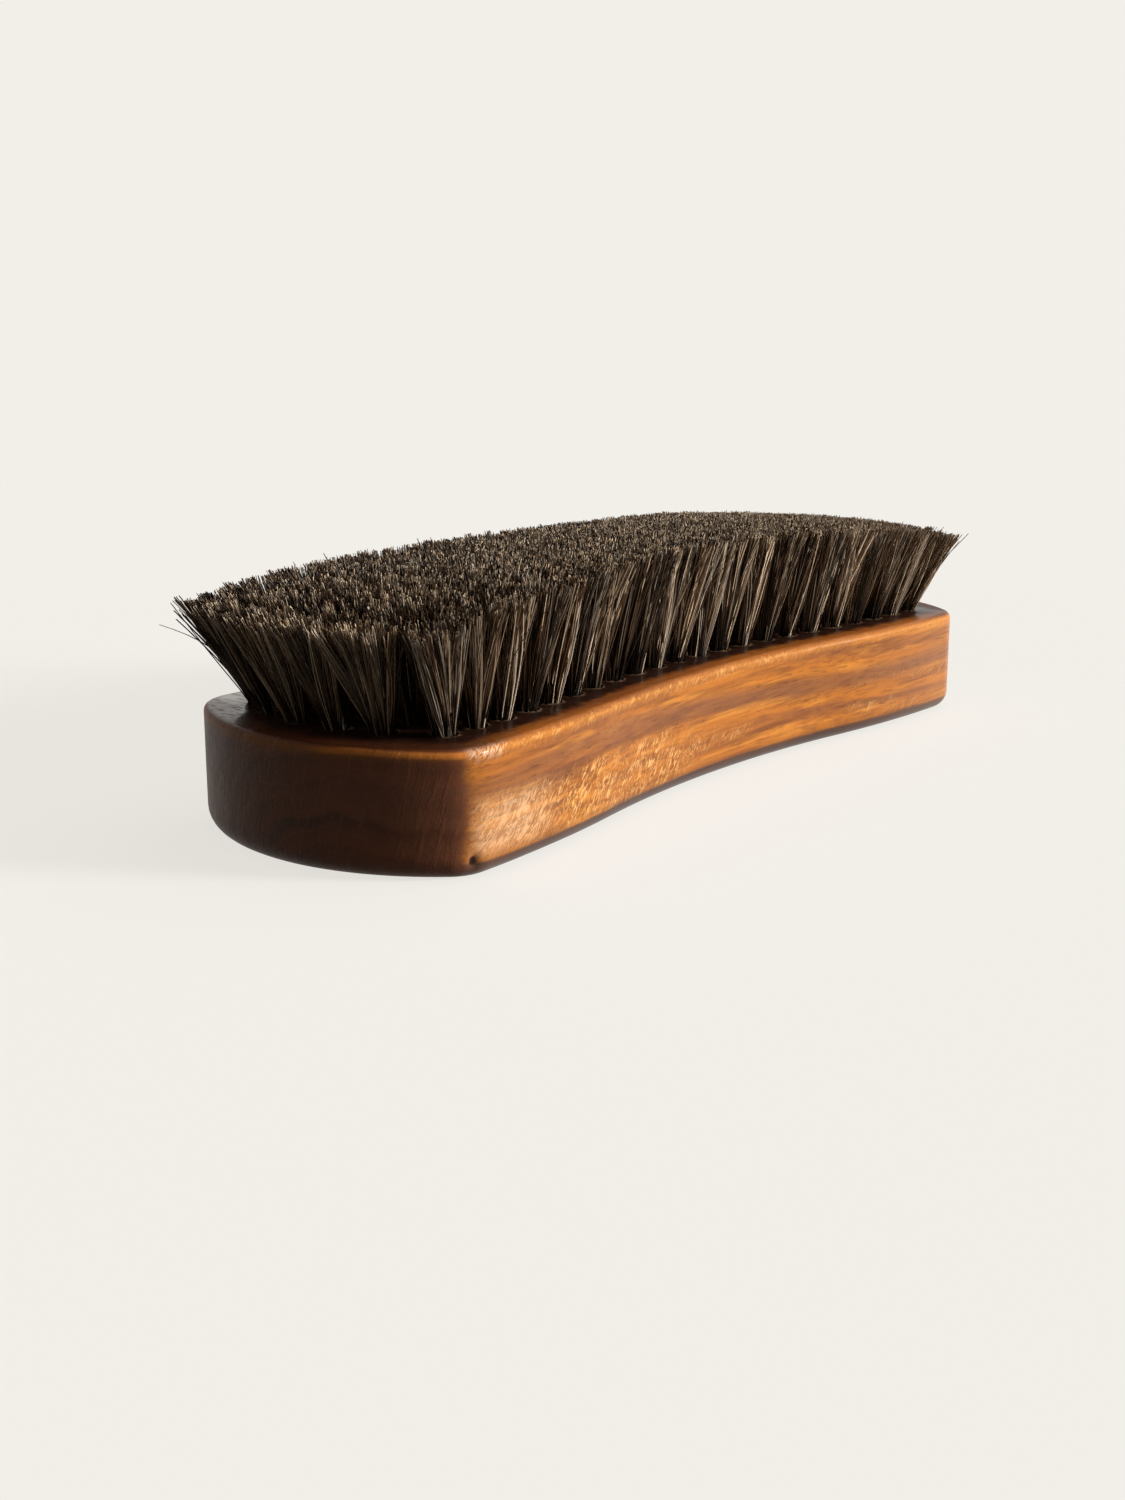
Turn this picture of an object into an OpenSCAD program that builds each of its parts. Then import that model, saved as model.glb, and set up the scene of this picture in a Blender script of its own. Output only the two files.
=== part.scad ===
// Horsehair brush for shining shoes: a waisted wooden block drilled with blind holes,
// each holding a tuft of hair that is folded round a flat wire anchor.
// Millimetres. The origin lies under the middle of the block, +X runs along the block,
// +Y across it and +Z up. The brush lies on its back with the hair upwards.

/* [Block] */
// Length of the wooden block from end to end
block_length = 168; // [156:1:186]
// Width of the block across its shoulders
block_width = 55; // [53:0.5:60]
// Width of the block across its waist
waist_width = 43.4; // [42:0.2:48]
// Thickness of the block
block_thick = 19; // [17:0.5:24]
// Distance from each end of the block to the widest line of its shoulders
shoulder_from_end = 12.5; // [10:0.5:18]
// How far the middle of each rounded end stands out past the shoulders' corners
end_bulge = 12; // [8:0.5:15]
// Radius of the four corners, seen from above
corner_radius = 8; // [6:0.5:10]
// Radius of the rounded edge round the back
back_edge_radius = 3.2; // [1:0.2:4]
// Radius of the eased edge round the bristle face
face_edge_radius = 1.3; // [0.5:0.1:2.5]

/* [Drilling] */
// Number of crosswise rows of holes
row_count = 22; // [16:1:24]
// Number of holes in each crosswise row
holes_per_row = 6; // [4:1:6]
// Diameter of each hole
hole_diameter = 4.2; // [3.6:0.1:4.6]
// Depth of each hole below the bristle face
hole_depth = 12; // [10:0.5:14]
// Wood left between the outer holes and the sides and ends of the block
edge_margin = 6.8; // [6:0.1:8]

/* [Hair] */
// Length of the hair above the bristle face, in the middle of the block
hair_length = 20.8; // [15:0.2:30]
// How much shorter the hair is trimmed at the two ends
end_trim = 3.3; // [0:0.1:5]
// Lean of the outermost tufts at the two ends, in degrees
end_lean = 28; // [0:1:40]
// Lean of the outermost tufts along the two sides, in degrees
side_lean = 14; // [0:1:30]
// Width of each of the three strands of a tuft where it leaves its hole
strand_root = 1.1; // [0.8:0.05:1.2]
// Distance of each strand from the middle of its tuft at the hole
strand_root_ring = 1; // [0.9:0.02:1.1]
// Gap between neighbouring strands at their trimmed tips
strand_tip_gap = 0.4; // [0.2:0.1:1]

/* [Anchors] */
// Thickness of the flat wire
anchor_thick = 0.4; // [0.3:0.05:0.6]
// Height of the flat wire, standing on edge
anchor_height = 1.8; // [1.2:0.1:2.5]
// Hair folded under each anchor, measured up from the bottom of the hole
fold_height = 1.3; // [0.8:0.1:2]

/* [Fits] */
// Clearance between a tuft and its hole, and between an anchor and what is round it
fit_gap = 0.05; // [0.02:0.01:0.15]

/* [Hidden] */
half_length = block_length / 2;
half_width = block_width / 2;
waist_depth = (block_width - waist_width) / 2;
shoulder_x = half_length - shoulder_from_end;

// Steps along each arc of the outline, and round each rounded edge
end_steps = 7;
corner_steps = 6;
side_steps = 7;
back_edge_steps = 4;
face_edge_steps = 3;

// Facets of a round hole, and how far a cut runs on past the face that it opens
round_facets = 32;
cut_over = 1;

// How deep the strands are rooted in the hair that fills the hole, and how far that stands out
root_overlap = 1;
collar_height = 0.4;

// How the lean grows from the middle of the block to its ends and to its sides
end_lean_power = 1.8;
side_lean_power = 3;
// Share of its sideways travel that a strand has made at half its height
half_way_lean = 0.4;

WOOD = "#b8651f";
HAIR = "#4d4238";
HAIR_END_ROW = "#5a4c3f";
WIRE = "#b9b4a8";

// The end is one arc through both shoulder corners, and the waist and shoulder arcs share a radius
end_radius = (half_width ^ 2 + end_bulge ^ 2) / (2 * end_bulge);
end_centre = [half_length - end_radius, 0];
side_radius = (shoulder_x ^ 2 + waist_depth ^ 2) / (4 * waist_depth);
shoulder_centre = [shoulder_x, half_width - side_radius];
waist_centre = [0, half_width - waist_depth + side_radius];

// Where two circles cross, on the side away from the middle of the block
function crossing(a, a_radius, b, b_radius) =
    let (gap = norm(b - a), along = (b - a) / gap)
    let (run = (a_radius ^ 2 - b_radius ^ 2 + gap ^ 2) / (2 * gap))
    a + run * along + sqrt(a_radius ^ 2 - run ^ 2) * [-along.y, along.x];

// The corner arc touches the end arc and the shoulder arc from inside
corner_centre = crossing(
    end_centre, end_radius - corner_radius, shoulder_centre, side_radius - corner_radius
);

function heading(from, to) = atan2(to.y - from.y, to.x - from.x);
end_turn = heading(end_centre, corner_centre);
corner_turn = heading(shoulder_centre, corner_centre);
side_turn = heading(shoulder_centre, waist_centre);

// Points of an arc without its last one, each with the way that it faces
function arc_run(centre, radius, from, to, steps, outward) = [
    for (k = [0 : steps - 1])
        let (a = from + (to - from) * k / steps, spoke = [cos(a), sin(a)])
        [centre + radius * spoke, outward * spoke]
];

quarter = concat(
    arc_run(end_centre, end_radius, 0, end_turn, end_steps, 1),
    arc_run(corner_centre, corner_radius, end_turn, corner_turn, corner_steps, 1),
    arc_run(shoulder_centre, side_radius, corner_turn, side_turn, side_steps, 1),
    arc_run(waist_centre, side_radius, side_turn - 180, -90, side_steps, -1)
);
waist_point = [[[0, half_width - waist_depth], [0, 1]]];

function mirrored(points, flip) = [
    for (k = [len(points) - 1 : -1 : 0])
        [[points[k][0].x * flip.x, points[k][0].y * flip.y],
         [points[k][1].x * flip.x, points[k][1].y * flip.y]]
];
upper_half = concat(quarter, waist_point, mirrored(quarter, [-1, 1]));
last_upper = len(upper_half) - 1;
lower_half = mirrored([for (k = [1 : last_upper - 1]) upper_half[k]], [1, -1]);
outline = concat(upper_half, lower_half);
ring_size = len(outline);

// The outline drawn in by an inset and laid at a height
function ring(inset, z) = [
    for (p = outline) [p[0].x - inset * p[1].x, p[0].y - inset * p[1].y, z]
];

block_rings = concat(
    [for (k = [0 : back_edge_steps])
        let (a = 90 * k / back_edge_steps)
        ring(back_edge_radius * (1 - sin(a)), back_edge_radius * (1 - cos(a)))],
    [for (k = [0 : face_edge_steps])
        let (a = 90 * k / face_edge_steps)
        ring(face_edge_radius * (1 - cos(a)), block_thick - face_edge_radius * (1 - sin(a)))]
);

// Triangles between neighbouring rings of n points that run anticlockwise seen from above
function wall_faces(rings, n) = [
    for (k = [0 : rings - 2], i = [0 : n - 1])
        let (j = (i + 1) % n)
        each [[k * n + i, (k + 1) * n + i, (k + 1) * n + j], [k * n + i, (k + 1) * n + j, k * n + j]]
];

// Triangles across a level face of the block, in strips between its two sides
function opposite(i) = (ring_size - i) % ring_size;
function cap_faces(first, up) = [
    for (i = [0 : last_upper - 1], part = [0, 1])
        let (tri = part == 0 ? [i, i + 1, opposite(i)] : [i + 1, opposite(i + 1), opposite(i)])
        if (tri[0] != tri[2] && tri[0] != tri[1])
            [for (t = [0 : 2]) first + tri[up ? 2 - t : t]]
];

// Where the holes are drilled: the rows follow the waist and the rounded ends
hole_inset = edge_margin + hole_diameter / 2;

function side_at(x) =
    abs(x) < shoulder_x / 2
        ? waist_centre.y - sqrt(side_radius ^ 2 - x ^ 2)
        : shoulder_centre.y + sqrt(side_radius ^ 2 - (abs(x) - shoulder_x) ^ 2);

function spread(k, count) = 2 * k / (count - 1) - 1;
function row_reach(v) =
    end_centre.x + sqrt((end_radius - hole_inset) ^ 2 - (v * (half_width - hole_inset)) ^ 2);
function hole_place(u, v) =
    let (x = u * row_reach(v))
    [x, v * (side_at(x) - hole_inset)];

hole_bottom = block_thick - hole_depth;
anchor_bottom = hole_bottom + fold_height;
tuft_diameter = hole_diameter - 2 * fit_gap;
anchor_length = hole_diameter - 2 * fit_gap;

// The straight run of a tuft's hair from the bristle face to its tip: longest in the middle
function hair_run(u, v) =
    let (along = end_lean * sign(u) * abs(u) ^ end_lean_power)
    let (across = side_lean * sign(v) * abs(v) ^ side_lean_power)
    let (way = [tan(along), tan(across), 1])
    (hair_length - end_trim * u ^ 2) * way / norm(way);

// The room that a tuft has at its tip, along and across the block, before its hair leans
function tuft_room(u, v) = [
    2 * row_reach(v) / (row_count - 1),
    2 * (side_at(hole_place(u, v).x) - hole_inset) / (holes_per_row - 1)
];

// Four corners of a strand at a height, anticlockwise round its middle
function strand_ring(middle, width) = [
    for (corner = [[1, 1], [-1, 1], [-1, -1], [1, -1]])
        middle + width / 2 * concat(corner, 0)
];

function row_name(prefix, i) = str(prefix, i < 10 ? "_0" : "_", i);

// The wooden block: a skin through its rings, drilled from the bristle face
module block() {
    color(WOOD)
    difference() {
        polyhedron(
            points = [for (r = block_rings) each r],
            faces = concat(
                wall_faces(len(block_rings), ring_size),
                cap_faces(0, false),
                cap_faces((len(block_rings) - 1) * ring_size, true)
            )
        );
        for (i = [0 : row_count - 1], j = [0 : holes_per_row - 1])
            translate(concat(hole_place(spread(i, row_count), spread(j, holes_per_row)), hole_bottom))
                cylinder(d = hole_diameter, h = hole_depth + cut_over, $fn = round_facets);
    }
}

// One strand of a tuft, from its start in the collar, with its way sideways to its trimmed tip
module strand(start, travel, tip_height, tip_width) {
    rings = [
        strand_ring(start - [0, 0, root_overlap], strand_root),
        strand_ring(
            start + half_way_lean * travel + [0, 0, tip_height / 2],
            (strand_root + tip_width) / 2
        ),
        strand_ring(start + travel + [0, 0, tip_height], tip_width)
    ];
    polyhedron(
        points = [for (r = rings) each r],
        faces = concat(wall_faces(3, 4), [[0, 1, 2], [0, 2, 3], [10, 9, 8], [11, 10, 8]])
    );
}

// One tuft: hair folded round its anchor in the hole, dividing into three strands above the face.
// At the tips a strand takes a third of the room along the block and half of the room across it.
module tuft(u, v, facing) {
    place = hole_place(u, v);
    run = hair_run(u, v);
    room = tuft_room(u, v);
    tip_width = min(room.x / 3, room.y / 2) - strand_tip_gap;
    difference() {
        union() {
            translate([place.x, place.y, hole_bottom + fit_gap])
                cylinder(d = tuft_diameter, h = hole_depth + collar_height - fit_gap, $fn = round_facets);
            for (k = [0 : 2]) {
                spoke = facing * [cos(120 * k), sin(120 * k)];
                root = strand_root_ring * spoke;
                tip = [spoke.x * room.x / 3, spoke.y * room.y / 4 / sin(120)];
                strand(
                    [place.x + root.x, place.y + root.y, block_thick],
                    concat([run.x, run.y] + tip - root, 0),
                    run.z,
                    tip_width
                );
            }
        }
        translate([place.x, place.y, anchor_bottom + anchor_height / 2])
            cube(
                [hole_diameter + cut_over, anchor_thick + 2 * fit_gap, anchor_height + 2 * fit_gap],
                center = true
            );
    }
}

// A crosswise row of tufts, facing by turns towards one end of the block and the other
module tuft_row(i) {
    end_row = i == 1 || i == row_count;
    color(end_row ? HAIR_END_ROW : HAIR)
    for (j = [0 : holes_per_row - 1])
        tuft(spread(i - 1, row_count), spread(j, holes_per_row), 1 - 2 * ((i + j) % 2));
}

// The flat wires that hold a crosswise row of tufts, each across its hole
module anchor_row(i) {
    color(WIRE)
    for (j = [0 : holes_per_row - 1])
        translate(concat(
            hole_place(spread(i - 1, row_count), spread(j, holes_per_row)),
            anchor_bottom + anchor_height / 2
        ))
            intersection() {
                cube([hole_diameter, anchor_thick, anchor_height], center = true);
                cylinder(d = anchor_length, h = anchor_height + cut_over, center = true, $fn = round_facets);
            }
}

block();
for (i = [1 : row_count]) {
    tuft_row(i);
    anchor_row(i);
}
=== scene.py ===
"""The looks of a shoe shine brush: a waisted varnished block, tufts of mixed horsehair and a pale stage."""

import math

import bmesh
import bpy
import numpy as np
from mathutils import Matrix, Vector, noise
from mathutils.geometry import delaunay_2d_cdt


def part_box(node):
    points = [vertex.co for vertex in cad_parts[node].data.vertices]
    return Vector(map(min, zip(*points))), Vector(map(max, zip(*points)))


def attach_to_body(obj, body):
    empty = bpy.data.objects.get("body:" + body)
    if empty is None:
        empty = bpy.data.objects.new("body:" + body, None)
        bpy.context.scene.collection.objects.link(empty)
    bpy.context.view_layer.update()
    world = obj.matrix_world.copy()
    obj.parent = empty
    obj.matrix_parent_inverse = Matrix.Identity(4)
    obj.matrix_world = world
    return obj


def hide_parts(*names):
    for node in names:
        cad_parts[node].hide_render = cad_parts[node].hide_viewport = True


bl_info = {
    "name": "Shoe shine brush",
    "version": (1, 0, 0),
    "blender": (4, 5, 0),
    "location": "3D View > Sidebar > Shine Brush",
    "description": "Builds a horsehair shoe shine brush round its packed model",
    "category": "Add Mesh",
}

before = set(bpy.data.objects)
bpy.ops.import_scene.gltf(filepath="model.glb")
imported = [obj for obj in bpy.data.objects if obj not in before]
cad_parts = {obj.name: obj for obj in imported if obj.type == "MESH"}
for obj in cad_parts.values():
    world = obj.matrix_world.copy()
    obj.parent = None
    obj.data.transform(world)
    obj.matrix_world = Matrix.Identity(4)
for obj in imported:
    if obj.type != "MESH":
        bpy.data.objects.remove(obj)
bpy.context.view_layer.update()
BLOCK_LOW, BLOCK_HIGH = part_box("block")
TUFT_ROWS = sorted(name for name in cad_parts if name.startswith("tuft_row_"))
ANCHOR_ROWS = sorted(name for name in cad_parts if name.startswith("anchor_row_"))
MM = 0.001
# Each sun's name, azimuth, elevation and breadth in degrees. The stage setting of that name is its strength
SUNS = (("key", -58, 14, 14), ("top", -25, 66, 60))


class BlockSettings(bpy.types.PropertyGroup):
    """Sizes of the wooden block that its box doesn't give."""

    waist_width: bpy.props.FloatProperty(
        name="Waist width", description="Width across the waist", default=43.4 * MM, unit="LENGTH"
    )
    shoulder_from_end: bpy.props.FloatProperty(
        name="Shoulder from end", description="From an end to its shoulder", default=12.5 * MM, unit="LENGTH"
    )
    end_bulge: bpy.props.FloatProperty(
        name="End bulge", description="How far its middle stands out", default=12 * MM, unit="LENGTH"
    )
    corner_radius: bpy.props.FloatProperty(
        name="Corner radius", description="Radius of the corners from above", default=8 * MM, unit="LENGTH"
    )
    back_edge_radius: bpy.props.FloatProperty(
        name="Back edge radius", description="Radius of the back's edge", default=3.2 * MM, unit="LENGTH"
    )
    face_edge_radius: bpy.props.FloatProperty(
        name="Face edge radius", description="Radius of the face's edge", default=1.3 * MM, unit="LENGTH"
    )
    hole_diameter: bpy.props.FloatProperty(
        name="Hole diameter", description="Diameter of each drilled hole", default=4.2 * MM, unit="LENGTH"
    )
    waviness: bpy.props.FloatProperty(
        name="Waviness", description="Unevenness left by hand sanding", default=0.09 * MM, unit="LENGTH"
    )
    light_wood: bpy.props.FloatVectorProperty(
        name="Light wood", description="Early wood's colour", subtype="COLOR", default=(0.56, 0.18, 0.026)
    )
    dark_wood: bpy.props.FloatVectorProperty(
        name="Dark wood", description="Late wood's colour", subtype="COLOR", default=(0.25, 0.085, 0.036)
    )


class HairSettings(bpy.types.PropertyGroup):
    """Number, sizes and colours of the hair."""

    per_tuft: bpy.props.IntProperty(name="Hairs in a tuft", description="Hairs in a hole", default=400, min=1)
    thickness: bpy.props.FloatProperty(
        name="Thickness", description="Thickness of a hair at its root", default=0.21 * MM, unit="LENGTH"
    )
    length: bpy.props.FloatProperty(
        name="Length", description="Length in the middle", default=20.7 * MM, unit="LENGTH"
    )
    end_trim: bpy.props.FloatProperty(
        name="End trim", description="How much the ends are shorter", default=3.3 * MM, unit="LENGTH"
    )
    trim_slope: bpy.props.FloatProperty(
        name="Trim slope", description="How much the trim falls towards +X", default=0.9 * MM, unit="LENGTH"
    )
    end_lean: bpy.props.FloatProperty(
        name="End lean", description="Tufts' lean at the ends", default=math.radians(27), unit="ROTATION"
    )
    side_lean: bpy.props.FloatProperty(
        name="Side lean", description="Tufts' lean at the sides", default=math.radians(17.5), unit="ROTATION"
    )
    dark: bpy.props.FloatVectorProperty(
        name="Dark hair", description="Darkest hairs' colour", subtype="COLOR", default=(0.009, 0.005, 0.003)
    )
    middle: bpy.props.FloatVectorProperty(
        name="Brown hair", description="Brown hairs' colour", subtype="COLOR", default=(0.15, 0.08, 0.038)
    )
    pale: bpy.props.FloatVectorProperty(
        name="Pale hair", description="Palest hairs' colour", subtype="COLOR", default=(0.84, 0.63, 0.42)
    )
    grey: bpy.props.FloatVectorProperty(
        name="Grey hair", description="Grey hairs' colour", subtype="COLOR", default=(0.5, 0.41, 0.31)
    )


class StageSettings(bpy.types.PropertyGroup):
    """The camera, the lamps and the pale ground."""

    yaw: bpy.props.FloatProperty(
        name="Camera yaw", description="View's heading from +Y", default=math.radians(52.06), unit="ROTATION"
    )
    pitch: bpy.props.FloatProperty(
        name="Camera pitch", description="How far it looks down", default=math.radians(13.71), unit="ROTATION"
    )
    distance: bpy.props.FloatProperty(
        name="Camera distance", description="From it to the block's middle", default=0.3274, unit="LENGTH"
    )
    aside: bpy.props.FloatProperty(
        name="Aside", description="Camera's offset to its left", default=10.8 * MM, unit="LENGTH"
    )
    above: bpy.props.FloatProperty(
        name="Above", description="Camera's offset upwards", default=0.85 * MM, unit="LENGTH"
    )
    lens: bpy.props.FloatProperty(name="Lens", description="Focal length in millimetres", default=44.31)
    ground: bpy.props.FloatVectorProperty(
        name="Ground", description="Colour all round", subtype="COLOR", default=(0.888, 0.863, 0.815)
    )
    key: bpy.props.FloatProperty(name="Key light", description="Strength of the key lamp", default=4.2)
    top: bpy.props.FloatProperty(name="Top light", description="Strength of the top lamp", default=0.75)
    fill: bpy.props.FloatProperty(name="Fill", description="Light from all round", default=0.075)
    bounce: bpy.props.FloatProperty(name="Bounce", description="Light that the floor returns", default=0.2)


class BrushSettings(bpy.types.PropertyGroup):
    """All the settings of the brush."""

    block: bpy.props.PointerProperty(type=BlockSettings)
    hair: bpy.props.PointerProperty(type=HairSettings)
    stage: bpy.props.PointerProperty(type=StageSettings)


def written(operation, swapped=False):
    """A method that writes one Python operator of a Wire as a Math node."""

    def method(self, other=0.0):
        a, b = (other, self) if swapped else (self, other)
        return self.graph.one(operation, a, b)

    return method


class Wire:
    """A socket of a node tree that Python expressions can be written with."""

    def __init__(self, graph, socket):
        self.graph = graph
        self.socket = socket

    __add__ = __radd__ = written("ADD")
    __sub__ = written("SUBTRACT")
    __rsub__ = written("SUBTRACT", swapped=True)
    __mul__ = __rmul__ = written("MULTIPLY")
    __truediv__ = written("DIVIDE")
    __rtruediv__ = written("DIVIDE", swapped=True)
    __pow__ = written("POWER")
    __abs__ = written("ABSOLUTE")


class Made:
    """A node that has just been made, with its outputs by name or number."""

    def __init__(self, graph, node):
        self.graph = graph
        self.node = node

    def out(self, key=0):
        return Wire(self.graph, self.node.outputs[key])


class Graph:
    """A node tree with one method that makes any node."""

    def __init__(self, tree):
        self.tree = tree

    def node(self, kind, sockets=None, **settings):
        """Makes a node with these settings, whose sockets take wires or constants."""
        made = self.tree.nodes.new(kind)
        for name, value in settings.items():
            setattr(made, name, value)
        for key, value in (sockets or {}).items():
            if isinstance(value, Wire):
                self.tree.links.new(value.socket, made.inputs[key])
            else:
                made.inputs[key].default_value = value
        return Made(self, made)

    def ramp(self, value, stops):
        """Colours along a value, from stops that are a place and a colour each."""
        made = self.node("ShaderNodeValToRGB", {0: value})
        elements = made.node.color_ramp.elements
        while len(elements) < len(stops):
            elements.new(1.0)
        for element, (position, colour) in zip(elements, stops):
            element.position = position
            element.color = (*colour, 1.0)
        return made.out(0)

    def mix(self, factor, a, b):
        """Blends colour a into colour b."""
        a, b = (value if isinstance(value, Wire) else (*value, 1.0) for value in (a, b))
        return self.node("ShaderNodeMix", {0: factor, 6: a, 7: b}, data_type="RGBA").out(2)

    def one(self, operation, a, b=0.0, c=0.0):
        """One Math node of any kind."""
        return self.node("ShaderNodeMath", {0: a, 1: b, 2: c}, operation=operation).out(0)

    def fade(self, value, low, high):
        """0 below low, 1 above high, smooth between."""
        sockets = {0: value, 1: low, 2: high}
        return self.node("ShaderNodeMapRange", sockets, interpolation_type="SMOOTHSTEP").out(0)

    def band(self, value, rise, fall):
        """1 between two fades, each given by where it starts and ends, and 0 outside them."""
        return self.fade(value, *rise) - self.fade(value, *fall)

    def noise(self, vector, detail=2.0, roughness=0.5, distortion=0.0):
        """Soft noise with features about one unit wide."""
        sockets = {"Vector": vector, "Scale": 1.0, "Detail": detail}
        sockets |= {"Roughness": roughness, "Distortion": distortion}
        return self.node("ShaderNodeTexNoise", sockets).out(0)

    def grain(self, vector, factors, offset=(0, 0, 0), detail=2.0, roughness=0.5, distortion=0.0):
        """Noise with so many features a metre along each axis."""
        sockets = {"Vector": vector, "Scale": factors, "Location": offset}
        place = self.node("ShaderNodeMapping", sockets).out(0)
        return self.noise(place, detail, roughness, distortion)

    def mark(self, name):
        """A value that the mesh stores at its points."""
        return self.node("ShaderNodeAttribute", attribute_name=name).out("Fac")

    def layers(self, base, *coats):
        """Lays one colour after another over a base, each by its own amount."""
        for amount, colour in coats:
            base = self.mix(amount, base, colour)
        return base

    def parts(self, vector):
        made = self.node("ShaderNodeSeparateXYZ", {0: vector})
        return made.out("X"), made.out("Y"), made.out("Z")

    def joined(self, x, y, z):
        return self.node("ShaderNodeCombineXYZ", {"X": x, "Y": y, "Z": z}).out(0)


def bare_graph(owner):
    """The emptied node tree of a material or a world."""
    owner.use_nodes = True
    owner.node_tree.nodes.clear()
    return Graph(owner.node_tree)


def new_material(name, constants):
    """A material whose lone Principled shader has these constants, and the graph to dress it with."""
    material = bpy.data.materials.new(name)
    graph = bare_graph(material)
    shader = graph.node("ShaderNodeBsdfPrincipled", constants)
    graph.node("ShaderNodeOutputMaterial", {"Surface": shader.out(0)})
    return material, graph, shader.node


def attach(graph, shader, wires):
    """Links a wire to each of the shader's inputs that is named."""
    for name, wire in wires.items():
        graph.tree.links.new(wire.socket, shader.inputs[name])


def varnished_wood(settings):
    """Orange-brown hardwood under clear varnish. Its places are in metres, from under the block's middle."""
    constants = {"Specular IOR Level": 0.08, "Coat Roughness": 0.14, "IOR": 1.5}
    material, graph, shader = new_material("varnished_wood", constants)
    band, fade, grain, joined = graph.band, graph.fade, graph.grain, graph.joined
    place = graph.node("ShaderNodeTexCoord").out("Object")
    x, y, z = graph.parts(place)

    # The log's axis lies below the block and to one side, so the ends show arcs and the sides show streaks
    drift = grain(place, (9, 40, 40)) - 0.5
    wander = grain(place, (28, 150, 150), (3, 1, 7), 3.0) - 0.5
    across = y + 0.016 + drift * 0.012
    upward = z + 0.022 + drift * 0.01
    ring_width = 5.2 * MM
    ring = graph.one("SQRT", across * across + upward * upward) / ring_width + wander * 0.85
    ring_tone = graph.noise(joined(ring * 0.9, x * 14, 0.0), 1.0)
    late = band(graph.one("FRACT", ring), (0.1, 0.72), (0.78, 1.0)) * fade(ring_tone, 0.28, 0.68)

    # Fibres and pores run along the block, a little uphill
    grained = joined(x, y, z - x * 0.02)
    fibre = grain(grained, (70, 1500, 1500), detail=4.0, roughness=0.62)
    pore = fade(grain(grained, (190, 2900, 2900), (1, 5, 2)), 0.6, 0.72)
    streaky = grain(grained, (9, 330, 330), (8, 2, 4), 3.0, 0.6)
    gold = grain(grained, (16, 520, 520), (6, 1, 9), 3.0, 0.6)
    cloud = grain(place, (34, 95, 95), (8, 2, 4), 3.0, 0.6)

    # Curly figure: short slanted flecks across the grain, most of all near the corner, with painted
    # highlights on some and painted shade on others
    arris = graph.mark("arris")
    patch = grain(place, (30, 60, 190), (2, 9, 5))
    lower = band(z, (0.001, 0.0035), (0.0092, 0.012))
    near_band = band(z, (0.0015, 0.005), (0.01, 0.0125)) * band(x, (-0.066, -0.055), (-0.026, -0.006))
    flecked = fade(patch, 0.44, 0.64) * lower * 0.8 + near_band * 0.8 + arris
    slanted = joined(x - z * 0.75, y, z)
    curl = grain(slanted, (1080, 600, 600), (5, 5, 5), 3.0, 0.7, 1.6)
    cluster = grain(slanted, (330, 170, 260), (7, 1, 3))
    curl_room = graph.one("MINIMUM", flecked, 1.0) * (0.3 + 0.7 * fade(cluster, 0.4, 0.6))
    sharp = 1.0 - 0.6 * fade(x, 0.01, 0.075)
    painted_fleck_glint = fade(curl, 0.47, 0.64) * curl_room * sharp
    shadow_fleck = fade(1.0 - curl, 0.5, 0.66) * (0.2 + 0.8 * curl_room) * sharp

    # A dull mauve streak runs along the side, which pales at the far end, and painted shade darkens its foot
    # and bottom edge
    streak_height = z + 0.0011 * graph.one("SINE", x * 38) + drift * 0.006 + (streaky - 0.5) * 0.003
    streak = band(streak_height, (0.0102, 0.0122), (0.013, 0.015))
    painted_foot_shade = 1.0 - fade(z + drift * 0.003, 0.0006, 0.005)
    painted_bottom_shade = 1.0 - fade(z, 0.0022, 0.0028)
    base = graph.layers(
        settings.light_wood,
        (late * 0.8, settings.dark_wood),
        (fade(cloud, 0.35, 0.75) * 0.45, (0.72, 0.235, 0.022)),
        (fade(streaky, 0.5, 0.64) * 0.6, (0.19, 0.056, 0.016)),
        (fade(gold, 0.52, 0.68) * 0.55, (0.86, 0.33, 0.05)),
        (streak * 0.62, (0.23, 0.092, 0.046)),
        (fade(fibre, 0.42, 0.66) * 0.42, (0.17, 0.052, 0.018)),
        (pore * 0.45, (0.085, 0.028, 0.012)),
        (painted_fleck_glint * 0.92, (0.98, 0.54, 0.18)),
        (shadow_fleck * 0.72, (0.21, 0.058, 0.01)),
        (painted_foot_shade * 0.5, (0.13, 0.052, 0.022)),
        (painted_bottom_shade * 0.8, (0.05, 0.032, 0.03)),
        (fade(x, 0.03, 0.085) * 0.14, (0.8, 0.48, 0.3)),
    )

    # End grain drinks the varnish and turns dark, with fine rays and faint arcs across it. Painted light
    # lifts it towards the -Y side and painted shade takes it near black towards +Y
    end_grain = fade(graph.mark("end_grain") + (cloud - 0.5) * 0.3, 0.14, 0.44)
    ray_place = joined((y + z * 0.22) * 1500, z * 150, 0.0)
    ray = fade(graph.noise(ray_place, 3.0, 0.6), 0.48, 0.68)
    arc = fade(graph.noise(joined(ring * 3.4, y * 24, 0.0), 2.0, 0.6), 0.46, 0.6)
    soaked_and_shaded = graph.layers(
        (0.124, 0.045, 0.024),
        (late, (0.032, 0.012, 0.007)),
        (ray * 0.62, (0.17, 0.064, 0.038)),
        ((1.0 - fade(y, -0.027, -0.008)) * 0.5, (0.235, 0.08, 0.04)),
        (fade(y, -0.02, 0.022) * 0.78, (0.01, 0.005, 0.004)),
        (arc * 0.46, (0.15, 0.062, 0.034)),
    )

    # A painted sheen lies on the side beside the near corner
    painted_sheen = band(x, (-0.0735, -0.07), (-0.063, -0.049))
    painted_sheen = painted_sheen * band(z, (0.002, 0.005), (0.009, 0.013)) * (1.0 - end_grain)
    painted_sheen = painted_sheen * (0.2 + 0.46 * fade(curl, 0.42, 0.6))
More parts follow.
